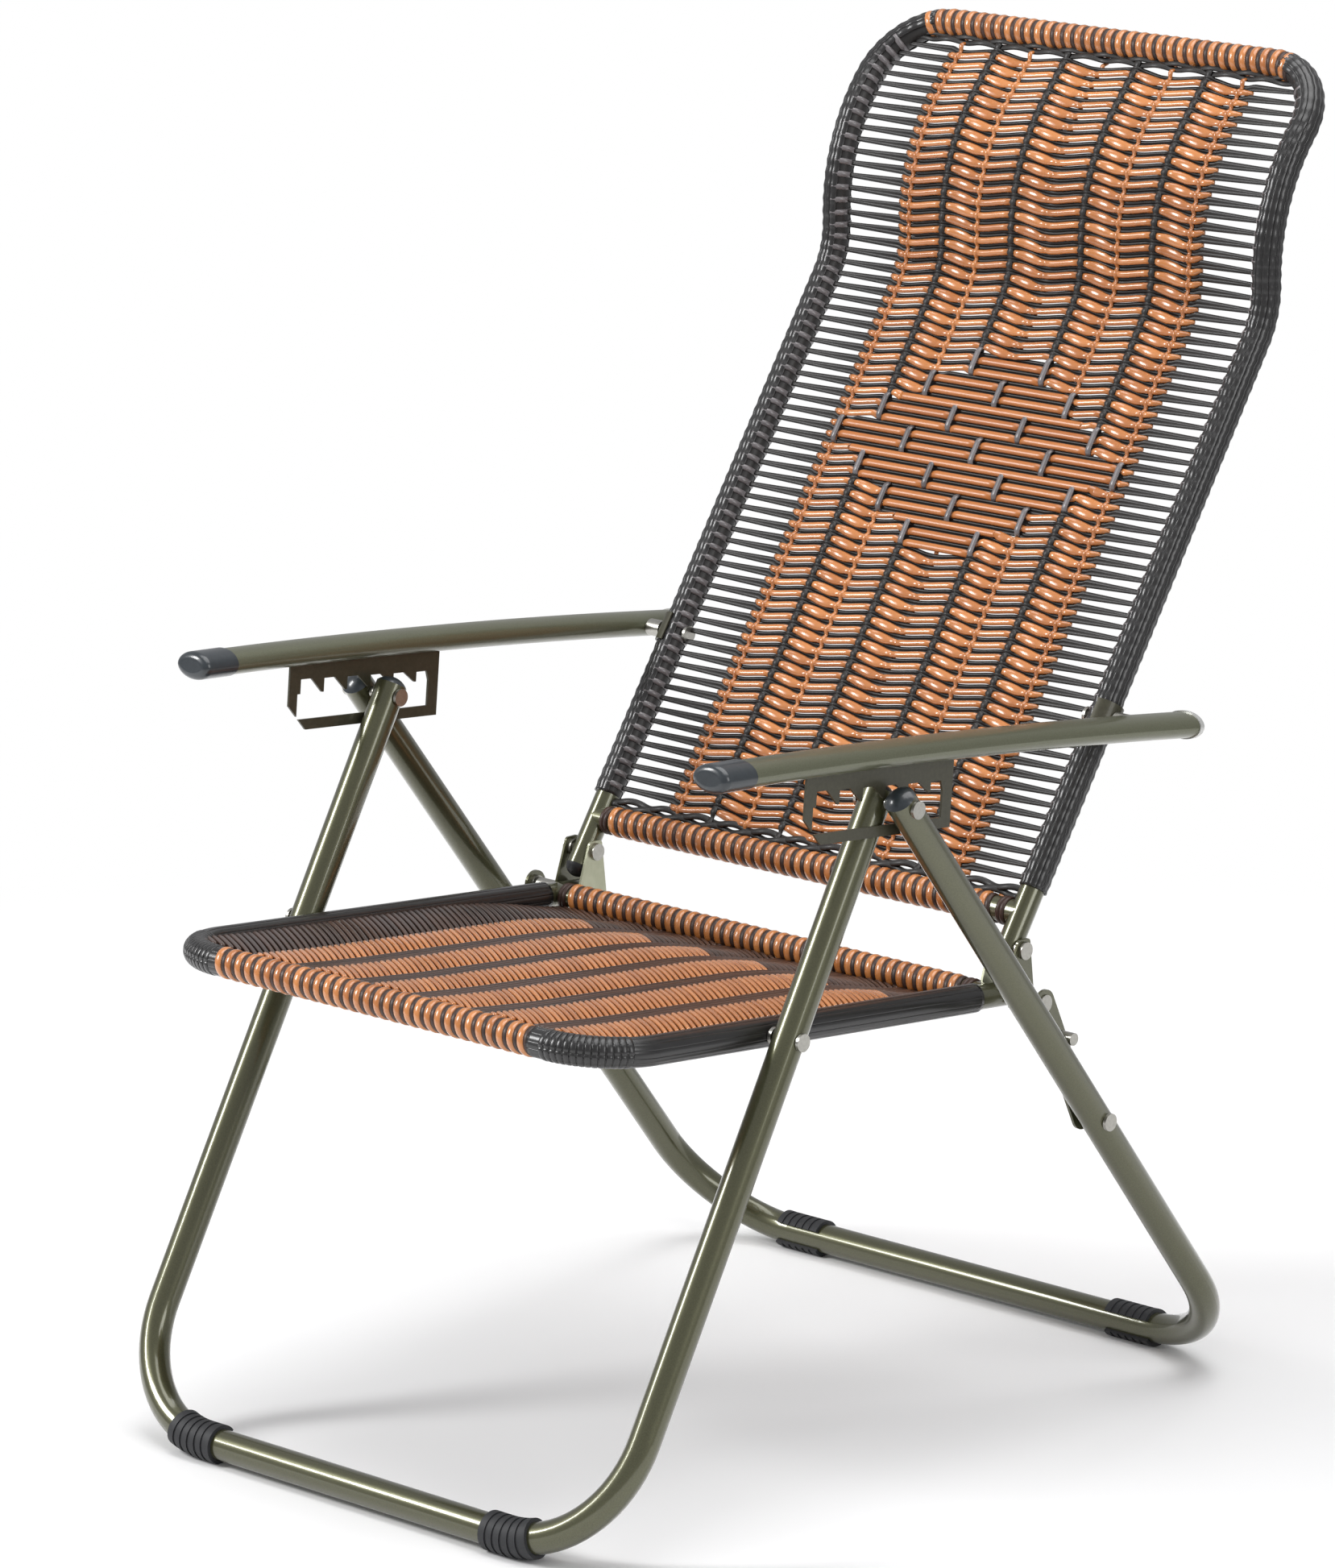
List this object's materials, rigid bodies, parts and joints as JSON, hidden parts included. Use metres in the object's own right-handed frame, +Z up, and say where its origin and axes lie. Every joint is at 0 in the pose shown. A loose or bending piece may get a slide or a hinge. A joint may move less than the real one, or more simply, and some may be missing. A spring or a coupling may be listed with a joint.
{
  "type": "folding recliner chair",
  "caption": "Folding recliner with woven seat and back on tube frames, armrests with notched ratchet plates, and legs that fold together.",
  "frame": {"origin": "on the floor under the middle of the chair's box at rest", "axes": "+X to the sitter's left, +Y to the back of the chair, +Z up; the sitter faces -Y"},
  "size_m": [0.6048, 0.9136, 1.0404],
  "materials": {
    "tube": "olive bronze metallic paint on round steel tube",
    "dark_plastic": "dark moulded plastic",
    "foot_rubber": "dark ribbed rubber",
    "orange_strand": "orange plastic rattan",
    "dark_strand": "near-black plastic rattan",
    "rivet_steel": "bright rivets and pins",
    "galvanised": "passivated steel plate",
    "bright_plug": "bright end plug"
  },
  "bodies": {
    "front_legs": {"front_leg_frame": "tube", "front_leg_plugs": "dark_plastic", "front_foot_sleeves": "foot_rubber", "seat_pivot_rivets": "rivet_steel", "seat_pivot_washers": "rivet_steel"},
    "rear_legs": {"rear_leg_frame": "tube", "rear_leg_plugs": "dark_plastic", "rear_foot_sleeves": "foot_rubber", "link_lower_rivets": "rivet_steel", "top_pivot_pins": "rivet_steel"},
    "seat": {"seat_frame": "tube", "seat_rear_rail": "tube", "seat_end_plugs": "dark_plastic", "seat_weave": "orange_strand", "seat_front_wrap": "orange_strand", "seat_rear_wrap": "orange_strand", "seat_side_wraps": "dark_strand", "hinge_inner_plates": "galvanised", "hinge_outer_plates": "galvanised", "link_pins": "rivet_steel"},
    "back_hinge": {"hinge_pins": "rivet_steel", "hinge_washers": "rivet_steel"},
    "back": {"back_frame": "tube", "back_lower_rail": "tube", "back_stile_plugs": "dark_plastic", "back_top_wrap": "orange_strand", "back_stile_wraps": "dark_strand", "back_lower_wrap": "orange_strand", "back_weave": "orange_strand", "arm_saddles": "galvanised", "saddle_rivets": "rivet_steel"},
    "links": {"link_plates": "tube", "link_upper_rivets": "rivet_steel", "link_stops": "rivet_steel"},
    "bushes": {"slot_bushes": "rivet_steel"},
    "arm_carriers": {"arm_pivot_bolts": "rivet_steel"},
    "arm_left": {"arm_tube_left": "tube", "ratchet_plate_left": "tube", "arm_front_cap_left": "dark_plastic", "arm_rear_plug_left": "bright_plug"},
    "arm_right": {"arm_tube_right": "tube", "ratchet_plate_right": "tube", "arm_front_cap_right": "dark_plastic", "arm_rear_plug_right": "bright_plug"}
  },
  "joints": [
    {"name": "fold", "type": "hinge", "parent": "front_legs", "child": "rear_legs", "pos_m": [0, -0.139, 0.5423], "axis": [-1, 0, 0], "range_deg": [0, 42.04]},
    {"name": "seat_turn", "type": "hinge", "parent": "front_legs", "child": "seat", "pos_m": [0, -0.23454, 0.3756], "axis": [-1, 0, 0], "range_deg": [0, 44.14]},
    {"name": "link_turn", "type": "hinge", "parent": "rear_legs", "child": "links", "pos_m": [0, 0.09284, 0.249], "axis": [-1, 0, 0], "range_deg": [0, 76.97]},
    {"name": "back_swing", "type": "hinge", "parent": "rear_legs", "child": "back_hinge", "pos_m": [0, 0.16668, 0.548], "axis": [-1, 0, 0], "range_deg": [-41.5, 0]},
    {"name": "recline", "type": "hinge", "parent": "back_hinge", "child": "back", "pos_m": [0, 0.0566, 0.384], "axis": [-1, 0, 0], "range_deg": [-17.4, 26.1]},
    {"name": "bush_turn", "type": "hinge", "parent": "rear_legs", "child": "bushes", "pos_m": [0, -0.139, 0.5423], "axis": [-1, 0, 0], "range_deg": [-4.7, 7.05]},
    {"name": "arm_slide", "type": "slide", "parent": "bushes", "child": "arm_carriers", "axis": [0, 0.9959, -0.0909], "range_m": [-0.0522, 0.0783]},
    {"name": "latch_left", "type": "hinge", "parent": "arm_carriers", "child": "arm_left", "pos_m": [0, 0.16668, 0.548], "axis": [1, 0, 0], "range_deg": [0, 1.74]},
    {"name": "latch_right", "type": "hinge", "parent": "arm_carriers", "child": "arm_right", "pos_m": [0, 0.16668, 0.548], "axis": [1, 0, 0], "range_deg": [0, 1.74]}
  ],
  "couplings": [
    {"joint": "seat_turn", "follows": "fold", "ratio": 1.05},
    {"joint": "link_turn", "follows": "fold", "ratio": 1.831},
    {"joint": "back_swing", "follows": "fold", "ratio": -0.98731},
    {"joint": "bush_turn", "follows": "recline", "ratio": 0.27},
    {"joint": "arm_slide", "follows": "recline", "m_per_rad": 0.17189}
  ]
}
